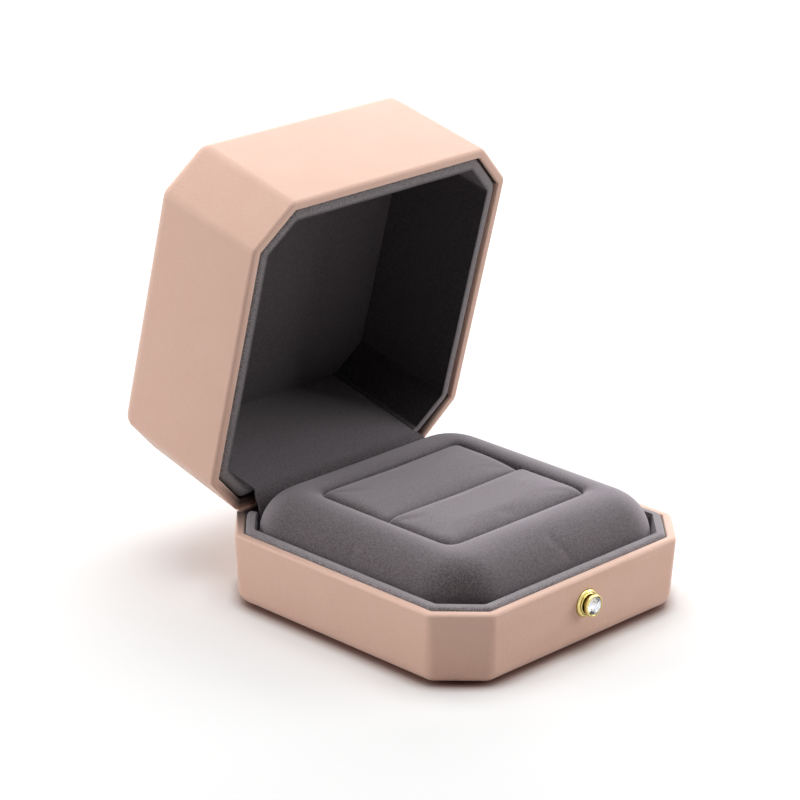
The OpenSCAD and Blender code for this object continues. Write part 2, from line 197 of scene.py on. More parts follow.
class Finish:
    # a material under construction
    def __init__(self, name):
        self.material = bpy.data.materials.new(name)
        self.material.use_nodes = True
        self.tree = self.material.node_tree
        self.tree.nodes.clear()
        self.place = self.node("TexCoord", {}, {}, "Object")

    def node(self, kind, settings, values, output=0):
        made = self.tree.nodes.new("ShaderNode" + kind)
        for key, value in settings.items():
            if key == "stops":
                self.setStops(made.color_ramp, value)
            else:
                setattr(made, key, value)
        for key, value in values.items():
            self.feed(made.inputs[key], value)
        return Wire(self, made.outputs[output])

    def feed(self, socket, value):
        if isinstance(value, Wire):
            self.tree.links.new(value.socket, socket)
        elif socket.type == "RGBA" and len(value) == 3:
            socket.default_value = (*value, 1)
        else:
            socket.default_value = value

    def setStops(self, ramp, stops):
        while len(ramp.elements) < len(stops):
            ramp.elements.new(0.5)
        for element, (position, shade) in zip(ramp.elements, stops):
            element.position = position
            element.color = (shade, shade, shade, 1)

    def noise(self, size, detail=2, rough=0.5, stretch=None):
        place = self.place
        if stretch:
            place = self.node("Mapping", {}, {"Vector": place, "Scale": stretch})
        return self.node("TexNoise", {}, {"Vector": place, "Scale": 1 / size, "Detail": detail,
                                          "Roughness": rough})

    def cells(self, size, feature="F1"):
        values = {"Vector": self.place, "Scale": 1 / size}
        return self.node("TexVoronoi", {"feature": feature}, values)

    def ramp(self, value, *stops):
        return self.node("ValToRGB", {"stops": stops}, {0: value})

    def blend(self, share, a, b):
        return self.node("Mix", {"data_type": "RGBA"}, {0: share, 6: a, 7: b}, 2)

    def bump(self, height, distance, strength=1, normal=None):
        values = {"Height": height, "Distance": distance, "Strength": strength}
        if normal:
            values["Normal"] = normal
        return self.node("Bump", {}, values)

    def attribute(self, name):
        return self.node("Attribute", {"attribute_name": name}, {}, "Fac")

    def done(self, **sockets):
        values = {key.replace("_", " "): value for key, value in sockets.items()}
        shader = self.node("BsdfPrincipled", {}, values)
        self.output(shader)
        return self.material

    def output(self, shader):
        end = self.tree.nodes.new("ShaderNodeOutputMaterial")
        self.tree.links.new(shader.socket, end.inputs["Surface"])


leatherLook = {
    "colour": (0.81, 0.515, 0.405),
    "pale": (0.86, 0.595, 0.49),
    "deep": (0.72, 0.42, 0.32),
    "paintedHingeShade": (0.06, 0.03, 0.022),    # painted shade on the turned-in edge along the hinge, where light hardly reaches
    "grain": 0.42 * mm,
    "roughness": 0.56,
}


def leatherFinish():
    look = leatherLook
    f = Finish("blush leather")
    drift = f.noise(9 * mm, 3)
    fine = f.noise(0.9 * mm, 4, 0.6)
    pebbles = f.cells(look["grain"], "SMOOTH_F1")
    creases = f.cells(1.7 * look["grain"], "DISTANCE_TO_EDGE")
    worn = f.attribute("wear")
    colour = f.blend(f.ramp(drift, (0.3, 0), (0.7, 1)) * 0.35, look["colour"], look["pale"])
    colour = f.blend(f.ramp(pebbles, (0.3, 0), (0.8, 1)) * 0.26, colour, look["deep"])
    colour = f.blend(worn * 0.45, colour, look["pale"])
    # a painted shade darkens the leather along the hinge
    colour = f.blend(f.attribute("dyed"), colour, look["paintedHingeShade"])
    roughness = look["roughness"] + 0.1 * fine - 0.06 * worn
    height = 0.6 * f.ramp(creases, (0.0, 0), (0.25, 1)) - 0.5 * pebbles + 0.5 * fine
    normal = f.bump(height, 0.026 * mm, 0.8, f.bump(drift, 0.12 * mm, 0.5))
    return f.done(Base_Color=colour, Roughness=roughness, Normal=normal, Specular_IOR_Level=0.3,
                  Sheen_Weight=0.42, Sheen_Roughness=0.4, Sheen_Tint=(0.97, 1.0, 1.0))


napLook = {
    "colour": (0.096, 0.083, 0.087),
    "paintedSheen": (0.425, 0.392, 0.425),   # painted sheen, where the pile is seen from its side
    "pale": (0.26, 0.215, 0.225),
    "deep": (0.022, 0.017, 0.019),
}
openPileAndHighlight = (0.4, 0.37, 0.385)       # where a tight bend parts the pile, and a painted highlight on the lit lip


def napFinish(name, shade, sheen):
    # shade darkens all the cloth's colours: a painted shade, for the copies inside the lid
    look = {key: [shade * c for c in value] for key, value in napLook.items()}
    f = Finish(name)
    speck = f.noise(0.17 * mm, 2, 0.7)
    tufts = f.noise(0.34 * mm, 3, 0.7)
    strokes = f.noise(7 * mm, 3, 0.55, (1, 1, 1.6))
    bendAndHighlight = f.attribute("wear")
    facing = f.node("LayerWeight", {}, {"Blend": 0.5}, "Facing")
    # facing paints a sheen into the colour: paler as the cloth is seen edge-on, with its speckle
    # fading there
    grain = 1 - 0.68 * f.ramp(facing, (0.15, 0), (0.6, 1))
    colour = f.blend(facing, look["colour"], look["paintedSheen"])
    colour = f.blend(f.ramp(strokes, (0.35, 0), (0.65, 1)) * 0.1, colour, look["pale"])
    # paler on the lips: the pile opened by the bend, and a painted highlight
    colour = f.blend(f.ramp(bendAndHighlight, (0.1, 0), (0.6, 1)) * 0.75, colour, openPileAndHighlight)
    colour = f.blend(f.ramp(speck, (0.44, 0), (0.56, 1)) * grain * 0.3, colour, look["pale"])
    colour = f.blend(f.ramp(tufts, (0.44, 0), (0.58, 1)) * grain * 0.45, colour, look["deep"])
    height = 0.8 * speck + 0.5 * tufts
    normal = f.bump(height, 0.1 * mm, 0.6)
    return f.done(Base_Color=colour, Roughness=0.95, Normal=normal, Sheen_Weight=sheen,
                  Sheen_Roughness=0.4, Sheen_Tint=(1.0, 0.92, 0.98), Specular_IOR_Level=0.02)


def metalFinish(name, colour, roughness, scratch, grooveShade=None):
    # grooveShade is a painted shade laid into the grooves, darker where they close in
    f = Finish(name)
    haze = f.noise(2.5 * mm, 3)
    lines = f.noise(0.12 * mm, 2, 0.6, (1, 6, 1))
    tone = f.blend(haze * 0.2, colour, [0.82 * c for c in colour])
    if grooveShade:
        # painted shade in the grooves, found by ambient occlusion
        open = f.node("AmbientOcclusion", {"samples": 8}, {"Distance": 0.7 * mm}, "AO")
        tone = f.blend(f.ramp(open, (0.35, 1), (0.95, 0)) * 0.9, tone, grooveShade)
    normal = f.bump(lines, scratch * mm, 0.4)
    return f.done(Base_Color=tone, Metallic=1.0, Roughness=roughness + 0.08 * haze, Normal=normal)


def mouldedFinish(name, colour, roughness):
    f = Finish(name)
    mottle = f.noise(1.5 * mm, 4)
    tone = f.blend(mottle * 0.3, colour, [0.85 * c for c in colour])
    return f.done(Base_Color=tone, Roughness=roughness, Normal=f.bump(mottle, 0.03 * mm, 0.4))


def crystalFinish():
    f = Finish("cut crystal")
    faint = f.noise(1.2 * mm, 2)
    return f.done(Base_Color=(0.97, 0.98, 1.0), Roughness=0.01 * faint, IOR=1.55,
                  Transmission_Weight=1.0, Specular_IOR_Level=0.6)


def foilFinish():
    f = Finish("silver foil")
    faint = f.noise(0.8 * mm, 2)
    return f.done(Base_Color=f.blend(faint, (0.92, 0.93, 0.95), (0.8, 0.81, 0.84)), Metallic=1.0,
                  Roughness=0.03 + 0.03 * faint)


leather = leatherFinish()
nap = napFinish("grey microfibre", 1.0, 0.35)
# darker copies of the same cloth, a painted shade for the lid's ceiling and walls, which lie in
# shade
shadedCeilingNap = napFinish("grey microfibre with painted shade of the ceiling", 0.62, 0.2)
shadedWallNap = napFinish("grey microfibre with painted shade of the walls", 0.5, 0.15)
# the last colour is the painted shade in the button's grooves
gold = metalFinish("pale gold plate", (0.8, 0.68, 0.27), 0.14, 0.004, (0.2, 0.115, 0.025))
steel = metalFinish("brushed steel", (0.62, 0.62, 0.63), 0.3, 0.01)
shellGrey = mouldedFinish("shell moulding", (0.16, 0.135, 0.115), 0.6)
greyboard = mouldedFinish("grey board", (0.28, 0.22, 0.17), 0.85)
crystal = crystalFinish()
foil = foilFinish()
print("materials made")


# leather covers


def octagonBlock(name, halfSize, lowZ, highZ, cut):
    # an upright block with its four upright edges cut off
    deselect()
    bpy.ops.mesh.primitive_cube_add(size=2, location=(0, 0, 0))
    piece = bpy.context.object
    piece.name = name
    piece.data.name = name
    startEdit(piece)
    bpy.ops.mesh.select_all(action="SELECT")
    bpy.ops.transform.resize(value=(halfSize, halfSize, (highZ - lowZ) / 2),
                             center_override=(0, 0, 0))
    bpy.ops.transform.translate(value=(0, 0, (lowZ + highZ) / 2))
    pick("EDGE", lambda e: abs(along(e).z) > 0.9)
    bpy.ops.mesh.bevel(offset=cut, offset_type="OFFSET", segments=1, affect="EDGES")
    return piece


def upright(edge):
    return abs(along(edge).z) > 0.9


def roundedBlock(name, halfSize, lowZ, highZ, cut, radius, steps=6):
    # the same with its eight corners rounded, each of which turns 45 degrees
    piece = octagonBlock(name, halfSize, lowZ, highZ, cut)
    pick("EDGE", upright)
    bpy.ops.mesh.bevel(offset=radius * math.tan(math.radians(22.5)), segments=steps, affect="EDGES",
                       profile=0.5)
    return piece


def leanIn(endZ, share):
    pick("VERT", lambda v: near(v.co.z, endZ))
    bpy.ops.transform.resize(value=(share, share, 1), center_override=(0, 0, endZ))


def rollOver(radius, steps=6):
    # points (inwards, outwards) of a quarter round from a wall onto the end face
    turns = [math.pi / 2 * step / steps for step in range(1, steps + 1)]
    return [(radius * (1 - math.cos(a)), radius * math.sin(a)) for a in turns]


def rollIn(radius, steps=4):
    # and from the end face down an inner wall
    turns = [math.pi / 2 * step / steps for step in range(1, steps + 1)]
    return [(radius * math.sin(a), radius * (math.cos(a) - 1)) for a in turns]


def contour(endZ, *runs):
    # insets the end face at endZ along each run of points in turn
    pick("FACE", lambda face: level(face, endZ))
    for run in runs:
        inwards, outwards = 0, 0
        for point in run:
            bpy.ops.mesh.inset(thickness=point[0] - inwards, depth=point[1] - outwards,
                               use_even_offset=True)
            inwards, outwards = point


button = {
    "z": 9.4 * mm,
    "face": -33.6 * mm,           # the leather under the flange
    "holeRadius": 2.4 * mm,
    "sides": 64,
}

cover = {
    "swell": 0.2 * mm,            # the leather stands a little proud of its board
    "edgeRadius": 3.0 * mm,       # round the closed side
    "cornerRadius": 3.1 * mm,     # round the corners at the closed side
    "rimCorners": 0.66,           # share of that radius left at the rim
    "foldRadius": 0.35 * mm,
    "foldDepth": 2.6 * mm,        # turned in over the rim
    "backTuck": 0.08,             # share of the rim's radius left along the hinge
    "backStart": 24 * mm,         # the back of the rim lies past this y
    "backFlat": 1 * mm,           # the tuck is full this near the back wall
    "backEase": 6 * mm,           # and eases off over this length
    "thickness": 0.55 * mm,
    "shadeHalf": 27 * mm,           # half of the stretch of painted shade along the hinge
    # how far the painted shade reaches from the hinge's axis and from the rim
    "shadeReach": 4 * mm,
    # lean of the walls towards the closed side, radius of the rim, leather turned over it
    "base": (0.5 * mm, 0.7 * mm, 1.56 * mm),
    "lid": (0.3 * mm, 0.75 * mm, 1.75 * mm),
}

notch = {
    "slack": 0.3 * mm,
    "deep": 1.2 * mm,             # of the knuckles in each rim
    "back": 2.4 * mm,             # from the hinge's axis into the rim
    "half": 26 * mm,
}


def sharpenCorners(halfSize, cut, z, share):
    # draws the rounded corners at one height towards the sharp corners of the octagon
    flat = halfSize - cut
    corners = [Vector((a * x, b * y)) for x, y in ((halfSize, flat), (flat, halfSize))
               for a in (-1, 1) for b in (-1, 1)]
    mesh = bmesh.from_edit_mesh(bpy.context.object.data)
    for v in mesh.verts:
        if near(v.co.z, z):
            corner = min(corners, key=lambda place: (v.co.xy - place).length)
            v.co.xy = corner + (v.co.xy - corner) * share
    bmesh.update_edit_mesh(bpy.context.object.data)


def tuckBack(startZ, openZ, radius):
    # tightens the roll of the rim along the hinge, where the two leathers meet
    s = cover
    mesh = bmesh.from_edit_mesh(bpy.context.object.data)
    outline = [v.co.copy() for v in mesh.verts if near(v.co.z, startZ)]
    rolled = [v for v in mesh.verts
              if abs(v.co.z - openZ) < radius * 1.01 and v.co.y > s["backStart"]]
    for v in rolled:
        foot = min(outline, key=lambda place: (v.co.xy - place.xy).length)
        inwards = (v.co.xy - foot.xy).length
        if inwards > radius * 1.01:
            continue
        open = min(1, max(0, (halfWide - s["backFlat"] - foot.y) / s["backEase"]))
        keep = s["backTuck"] + (1 - s["backTuck"]) * open
        v.co.xy = foot.xy + (v.co.xy - foot.xy) * keep
        v.co.z = openZ + (v.co.z - openZ) * keep
    bmesh.update_edit_mesh(bpy.context.object.data)


def split(test, place, normal):
    # cuts the faces that pass the test along a plane
    pick("FACE", test)
    bpy.ops.mesh.bisect(plane_co=place, plane_no=normal)


def hingeNotch(openZ, inwards):
    # room for the knuckles in the back rim
    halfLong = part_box("hinge_base_leaf")[1].x + notch["slack"]
    deep = notch["deep"] + notch["slack"]
    def atBack(face):
        place = face.calc_center_median()
        return (place.y > hinge.y - notch["back"] and abs(place.x) < notch["half"]
                and abs(face.normal.x) < 0.1)
    for side in (-1, 1):
        split(atBack, (side * halfLong, 0, 0), (1, 0, 0))
    split(atBack, (0, 0, openZ + inwards * deep), (0, 0, 1))
    pick("FACE", lambda face: atBack(face) and abs(face.calc_center_median().x) < halfLong
         and abs(face.calc_center_median().z - openZ) < deep)
    bpy.ops.mesh.delete(type="FACE")


def buttonHole():
    radius = button["holeRadius"]
    square = 0.886 * radius       # half the side of a square of the hole's area
    z = button["z"]
    def atFront(face):
        return face.normal.y < -0.95
    for side in (-1, 1):
        split(atFront, (side * square, 0, 0), (1, 0, 0))
        split(atFront, (0, 0, z + side * square), (0, 0, 1))
    pick("FACE", lambda face: atFront(face) and abs(face.calc_center_median().x) < 0.5 * radius
         and abs(face.calc_center_median().z - z) < 0.5 * radius)
    bpy.ops.mesh.subdivide(number_cuts=5)
    bpy.ops.mesh.delete(type="FACE")
    pick("VERT", lambda v: v.co.y < 0 and abs(v.co.x) < radius and abs(v.co.z - z) < radius)
    bpy.ops.transform.tosphere(value=1)


def markWear(piece):
    # how sharply the leather turns at each vertex, for the paler edges
    mesh = bmesh.new()
    mesh.from_mesh(piece.data)
    turns = []
    for v in mesh.verts:
        angles = [e.calc_face_angle(0) / max(e.calc_length(), 0.2 * mm) for e in v.link_edges]
        turns.append(min(1.0, max(angles, default=0) * 1.2 * mm))
    mesh.free()
    wear = piece.data.attributes.new("wear", "FLOAT", "POINT")
    wear.data.foreach_set("value", turns)


def markHingeShade(piece, openZ, rimRadius):
    # a painted shade on the leather's turned-in edge along the hinge
    s = cover
    inside = halfWide + s["swell"] - 0.9 * rimRadius
    dyed = piece.data.attributes.new("dyed", "FLOAT", "POINT")
    dyed.data.foreach_set("value", [
        1.0 if hinge.y - s["shadeReach"] < v.co.y < inside and abs(v.co.x) < s["shadeHalf"]
        and abs(v.co.z - openZ) < s["shadeReach"] else 0.0 for v in piece.data.vertices])


def leatherCover(name, body, closedZ, openZ):
    s = cover
    lean, rimRadius, wall = s[body]
    half = halfWide + s["swell"]
    inwards = 1 if closedZ > openZ else -1
    ends = closedZ - inwards * s["edgeRadius"], openZ + inwards * rimRadius
    piece = roundedBlock(name, half, min(ends), max(ends), case["cornerCut"], s["cornerRadius"])
    sharpenCorners(half, case["cornerCut"], ends[1], s["rimCorners"])
    leanIn(ends[0], (half - lean) / half)
    contour(ends[0], rollOver(s["edgeRadius"], 8))
    flat = wall + s["swell"] - rimRadius - s["foldRadius"]
    contour(ends[1], rollOver(rimRadius), [(flat, 0)], rollIn(s["foldRadius"]))
    bpy.ops.mesh.extrude_region_move(
        TRANSFORM_OT_translate={"value": (0, 0, inwards * s["foldDepth"])})
    bpy.ops.mesh.delete(type="FACE")
    tuckBack(ends[1], openZ, rimRadius)
    hingeNotch(openZ, inwards)
    if body == "base":
        buttonHole()
    endEdit()
    modify(piece, "SOLIDIFY", thickness=s["thickness"], offset=-1, use_even_offset=True)
    markWear(piece)
    markHingeShade(piece, openZ, rimRadius)
    return piece


baseCover = leatherCover("base_cover", "base", underZ, rimZ)
smooth(baseCover, 40)
finishPiece(baseCover, "base", "leather", leather, "base_leather")

lidCover = leatherCover("lid_cover", "lid", lidTop, lidRim)
openLid(lidCover)
smooth(lidCover, 40)
finishPiece(lidCover, "lid", "leather", leather, "lid_leather")
print("leather covers made")


# collar and linings

collar = {
    "inset": 1.66 * mm,
    "thickness": 1.76 * mm,
    "proud": 0.4 * mm,
    "farEnd": 2.6 * mm,           # above the case's underside
    "lean": 0.5 * mm,
    "lipRadius": 0.84 * mm,
    "halfGap": 23.2 * mm,         # half of the opening at the hinge
    "cornerRadius": 2.6 * mm,
    "curl": 2.2 * mm,             # length of the ends that turn away
    "bandDepth": 5 * mm,          # of the part that turns
    "sink": 1.5 * mm,             # behind the lip
    "lift": 0.3 * mm,             # off the wall
    "pinch": 0.0,                 # share of the thickness lost at the tip
    "worn": 1.0,                  # share of the lip's width that is paler, where the pile opens, with a painted highlight
}
lining = {
    "inset": 1.9 * mm,
    "thickness": 2.35 * mm,
    "recess": 0.4 * mm,
    "farEnd": 2.7 * mm,           # below the lid's top
    "lean": 0.3 * mm,
    "lipRadius": 1.1 * mm,
    "halfGap": 22.6 * mm,
    "cornerRadius": 3.0 * mm,
    "curl": 2.2 * mm,
    "bandDepth": 5 * mm,
    "sink": -0.7 * mm,
    "lift": 0.1 * mm,
    "pinch": 0.35,
    "worn": 0.62,
}
ruffles = {
    "size": 4 * mm,
    "depth": 0.06 * mm,
    "seed": 3,
}
lipMargin = 0.6 * mm              # plain strip under a rounded lip


def insetCut(inset):
    return case["cornerCut"] - inset * (2 - math.sqrt(2))


def curlEnds(piece, s, lipZ, away):
    # the band's two ends turn down behind the lip, stand away from the wall and thin out
    back = halfWide - s["inset"]
    for v in piece.data.vertices:
        run = (abs(v.co.x) - s["halfGap"]) / s["curl"]
        depth = abs(v.co.z - lipZ) / s["bandDepth"]
        if v.co.y < 0 or depth > 0.99:
            continue
        if run < 1:
            v.co.z += away * s["sink"] * (1 - math.sqrt(1 - 0.92 * (1 - run) ** 2))
            inner = back - s["thickness"]
            v.co.y = inner + (v.co.y - inner) * (1 - s["pinch"] * (1 - run) ** 2)
        if run < 2.5:
            lift = (1 - depth) * (1 - run / 2.5) ** 2
            v.co.y -= s["lift"] * lift
            v.co.x -= math.copysign(0.6 * s["lift"] * lift, v.co.x)


def markLip(piece, s, lipZ):
    # the lip is paler over its rounded part only, less on its inner side: the pile opens there, and
    # a painted highlight lies on it
    def depth(place):
        x, y = abs(place.x), abs(place.y)
        across = (2 * halfWide - case["cornerCut"] - x - y) / math.sqrt(2)
        return min(halfWide - x, halfWide - y, across)
    edge = s["inset"] + s["worn"] * s["thickness"] + 0.1 * mm
    wear = piece.data.attributes.new("wear", "FLOAT", "POINT")
    wear.data.foreach_set("value", [
        0.0 if abs(v.co.z - lipZ) > s["lipRadius"] * 1.02 else 1.0 if depth(v.co) < edge else 0.12
        for v in piece.data.vertices])


def ruffle(piece):
    # slight unevenness, as hand-laid cloth has
    noise.seed_set(ruffles["seed"])
    for v in piece.data.vertices:
        v.co += noise.noise_vector(v.co / ruffles["size"]) * ruffles["depth"]


def liningBand(name, s, lipZ, farZ):
    # a padded band along the wall, open at the hinge, with a rounded lip at lipZ
    piece = octagonBlock(name, halfWide - s["inset"], min(lipZ, farZ), max(lipZ, farZ),
                         insetCut(s["inset"]))
    leanIn(farZ, (halfWide - s["inset"] - s["lean"]) / (halfWide - s["inset"]))
    pick("FACE", lambda face: level(face, lipZ) or level(face, farZ))
    bpy.ops.mesh.delete(type="ONLY_FACE")
    for side in (-1, 1):
        split(lambda face: face.normal.y > 0.9, (side * s["halfGap"], 0, 0), (1, 0, 0))
    pick("FACE", lambda face: face.normal.y > 0.9
         and abs(face.calc_center_median().x) < s["halfGap"])
    bpy.ops.mesh.delete(type="FACE")
    pick("EDGE", lambda e: upright(e) and abs(middle(e).x) > s["halfGap"] + 0.1 * mm)
    bpy.ops.mesh.bevel(offset=s["cornerRadius"] * math.tan(math.radians(22.5)), segments=8,
                       affect="EDGES", profile=0.5)
    pick("EDGE", lambda e: abs(along(e).z) < 0.1 and e.calc_length() > 6 * mm)
    bpy.ops.mesh.subdivide(number_cuts=15)
    pick("FACE", lambda face: True)
    away = 1 if farZ > lipZ else -1
    bpy.ops.mesh.bisect(plane_co=(0, 0, lipZ + away * s["bandDepth"]), plane_no=(0, 0, 1))
    pick("FACE", lambda face: True)
    bpy.ops.mesh.bisect(plane_co=(0, 0, lipZ + away * (s["lipRadius"] + lipMargin)),
                        plane_no=(0, 0, 1))
    endEdit()
    modify(piece, "SOLIDIFY", thickness=s["thickness"], offset=-1, use_even_offset=True)
    startEdit(piece)
    pick("EDGE", lambda e: level(e, lipZ))
    bpy.ops.mesh.bevel(offset=s["lipRadius"], segments=6, affect="EDGES", profile=0.5)
    endEdit()
    markLip(piece, s, lipZ)
    curlEnds(piece, s, lipZ, away)
    ruffle(piece)
    return piece


baseCollar = liningBand("base_collar_band", collar, rimZ + collar["proud"],
                        underZ + collar["farEnd"])
smooth(baseCollar, 50)
finishPiece(baseCollar, "base", "microfibre", nap, "base_collar")

lidLining = liningBand("lid_lining_band", lining, lidRim + lining["recess"],
                       lidTop - lining["farEnd"])
openLid(lidLining)
smooth(lidLining, 50)
finishPiece(lidLining, "lid", "microfibre", shadedWallNap, "lid_lining")

ceiling = {
    "inset": 3.6 * mm,
    "low": 3.3 * mm,              # from the top of the lid
    "high": 2.0 * mm,
    "edgeRadius": 1.0 * mm,
    "cornerRadius": 6 * mm,
}


def ceilingPad():
    s = ceiling
    low = lidTop - s["low"] + s["edgeRadius"]
    piece = roundedBlock("lid_ceiling_board", halfWide - s["inset"], low, lidTop - s["high"],
                         insetCut(s["inset"]), s["cornerRadius"])
    contour(low, rollOver(s["edgeRadius"]))
    endEdit()
    return piece


ceilingPiece = ceilingPad()
openLid(ceilingPiece)
smooth(ceilingPiece)
finishPiece(ceilingPiece, "lid", "microfibre", shadedCeilingNap, "lid_ceiling_pad")
print("collar and linings made")


# ring cushion

cushionLook = {
    "inset": 3.95 * mm,
    "rise": 6.9 * mm,             # of the crown above the rim
    "shoulder": 8.8 * mm,
    "cornerRadius": 11.1 * mm,
    "wellHalfWide": 19.3 * mm,
    "wellHalfDeep": 17.4 * mm,
    "wellBack": 0.5 * mm,         # its middle lies this far behind the case's
    "wellDrop": 9 * mm,
    "dipWide": 1.5 * mm,          # the fall of the top into the seam round the well
    "dipDeep": 0.75 * mm,
    "dipSteps": 5,
    "voxel": 0.65 * mm,
    "pressure": 60,
    "cap": 0.7 * mm,
}

swellFrames = 20


def puff(piece, look, held, crown=None):
    # swells a padded piece a little, as its foam does under the cloth; held points stay
    modify(piece, "REMESH", mode="VOXEL", voxel_size=look["voxel"], use_smooth_shade=True)
    modify(piece, "SMOOTH", factor=0.5, iterations=2)
    if crown:
        for v in piece.data.vertices:
            v.co.z += crown(v.co)
    before = [v.co.copy() for v in piece.data.vertices]
    seam = piece.vertex_groups.new(name="seam")
    seam.add([v.index for v in piece.data.vertices if held(v.co)], 1, "REPLACE")
    activate(piece)
    cloth = piece.modifiers.new("Cloth", "CLOTH")
    cloth.settings.vertex_group_mass = "seam"
    cloth.settings.use_pressure = True
    cloth.settings.uniform_pressure_force = look["pressure"]
    cloth.settings.effector_weights.gravity = 0
    cloth.point_cache.frame_start = 1
    cloth.point_cache.frame_end = swellFrames
    for step in range(1, swellFrames + 1):
        bpy.context.scene.frame_set(step)
    bpy.ops.object.modifier_apply(modifier=cloth.name)
    bpy.context.scene.frame_set(1)
    piece.vertex_groups.clear()
    for v, start in zip(piece.data.vertices, before):
        move = v.co - start
        if move.length > look["cap"]:
            v.co = start + move.normalized() * look["cap"]
    modify(piece, "SMOOTH", factor=0.5, iterations=4)
    moved = [(v.co - start).length for v, start in zip(piece.data.vertices, before)]
    print(piece.name, "swelled by up to", round(max(moved) / mm, 2), "mm")
    modify(piece, "SUBSURF", levels=1, render_levels=1)
    smooth(piece, 180)


def block(name, low, high):
    deselect()
    bpy.ops.mesh.primitive_cube_add(size=2, location=(0, 0, 0))
    piece = bpy.context.object
    piece.name = name
    piece.data.name = name
    startEdit(piece)
    bpy.ops.mesh.select_all(action="SELECT")
    bpy.ops.transform.resize(value=(high - low) / 2, center_override=(0, 0, 0))
    bpy.ops.transform.translate(value=(high + low) / 2)
    return piece


def cushionFrame():
    s = cushionLook
    half = halfWide - s["inset"]
    crown = rimZ + s["rise"]
    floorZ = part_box("cushion")[0].z
    piece = block("ring_cushion", Vector((-half, -half, floorZ)), Vector((half, half, crown)))
    pick("EDGE", upright)
    bpy.ops.mesh.bevel(offset=s["cornerRadius"], segments=10, affect="EDGES", profile=0.5)
    pick("EDGE", lambda e: level(e, crown))
    bpy.ops.mesh.bevel(offset=s["shoulder"], segments=10, affect="EDGES", profile=0.5)
    pick("FACE", lambda face: level(face, crown))
    reachX = half - s["shoulder"]
    reachY = reachX
    z = crown
    shift = s["wellBack"]
    for step in range(s["dipSteps"] + 1):
        share = 1 - step / s["dipSteps"]
        distance, depth = s["dipWide"] * share, s["dipDeep"] * (1 - share) ** 2
        x, y = s["wellHalfWide"] + distance, s["wellHalfDeep"] + distance
        bpy.ops.mesh.extrude_region_move(
            TRANSFORM_OT_translate={"value": (0, shift, crown - depth - z)})
        bpy.ops.transform.resize(value=(x / reachX, y / reachY, 1),
                                 center_override=(0, s["wellBack"], z))
        reachX, reachY, z, shift = x, y, crown - depth, 0
    bpy.ops.mesh.extrude_region_move(TRANSFORM_OT_translate={"value": (0, 0, -s["wellDrop"])})
    endEdit()
    return piece


cushion = cushionFrame()


def cushionHeld(place):
    inWell = (abs(place.x) < cushionLook["wellHalfWide"] + 0.4 * mm
              and abs(place.y - cushionLook["wellBack"]) < cushionLook["wellHalfDeep"] + 0.4 * mm)
    return place.z < rimZ - 6 * mm or inWell


puff(cushion, cushionLook, cushionHeld)
finishPiece(cushion, "base", "microfibre", nap, "cushion")

rollLook = {
    "slack": 0.12 * mm,           # to the walls of the well
    "halfSlot": 0.12 * mm,
    "holdUnder": 2 * mm,          # below the top, where the cloth is held
    "drop": 4.0 * mm,
    "arris": 0.45 * mm,           # round of every upper edge
    "crown": 0.25 * mm,           # swell of the middle
    "ends": (2.7 * mm, 0.6 * mm),    # fall of the top to the seams at its ends: reach, depth
    "voxel": 0.55 * mm,
    "pressure": 16,
    "cap": 0.25 * mm,
    "rise": 6.95 * mm,            # above the rim
    # name: (node, side, fall to the outer seam, fall to the ring slot)
    "rolls": {
        "front_ring_roll": ("ring_roll_front", -1, (3.6 * mm, 0.95 * mm), (1.0 * mm, 0.15 * mm)),
        "rear_ring_roll": ("ring_roll_rear", 1, (1.6 * mm, 0.4 * mm), (11 * mm, 1.0 * mm)),
    },
}


def ringRoll(name, side):
    s = rollLook
    halfLength = cushionLook["wellHalfWide"] - s["slack"]
    high = rimZ + s["rise"]
    outer = side * (cushionLook["wellHalfDeep"] - s["slack"]) + cushionLook["wellBack"]
    inner = side * s["halfSlot"]
    piece = block(name, Vector((-halfLength, min(inner, outer), rimZ - s["drop"])),
                  Vector((halfLength, max(inner, outer), high)))
    pick("EDGE", lambda e: level(e, high))
    bpy.ops.mesh.bevel(offset=s["arris"], segments=4, affect="EDGES", profile=0.5)
    endEdit()
    return piece


def pillowTop(place, side, seam, slot):
    # how far the top of a roll stands above its flat at a place
    s = rollLook
    halfLength = cushionLook["wellHalfWide"] - s["slack"]
    wide = cushionLook["wellHalfDeep"] - s["slack"] + side * cushionLook["wellBack"]
    across = side * place.y
    falls = [(halfLength - abs(place.x), s["ends"]), (wide - across, seam), (across, slot)]
    height = s["crown"] * (1 - (place.x / halfLength) ** 2) * (1 - (2 * across / wide - 1) ** 2)
    for distance, (reach, deep) in falls:
        height -= deep * max(0, 1 - max(0, distance) / reach) ** 2
    return height


holdZ = rimZ + rollLook["rise"] - rollLook["holdUnder"]
for rollName, (rollNode, rollSide, seamFall, slotFall) in rollLook["rolls"].items():
    roll = ringRoll(rollName, rollSide)
    puff(roll, rollLook, lambda place: place.z < holdZ,
         lambda place: pillowTop(place, rollSide, seamFall, slotFall) if place.z > holdZ else 0)
    finishPiece(roll, "base", "microfibre", nap, rollNode)
print("cushion made")


# hinge flap

flapLook = {
    "lidHalf": 24.5 * mm,
    "neckHalf": 22.1 * mm,        # between the ends of the lid's lining
    "baseHalf": 23.5 * mm,
    "top": 24.4 * mm,             # reach up the lid's back wall
    "tail": 7.5 * mm,             # reach down behind the cushion
    "narrows": (-3.5 * mm, 4 * mm),   # from this far past the lid's lip, over this length
    "widens": (-0.5 * mm, 3 * mm),
    "thickness": 0.36 * mm,
    "bend": ((-4 * mm, -1 * mm), (-1 * mm, 4 * mm)),   # from the hinge's axis, as (y, z)
    "rows": 60,
    "columns": 40,
}


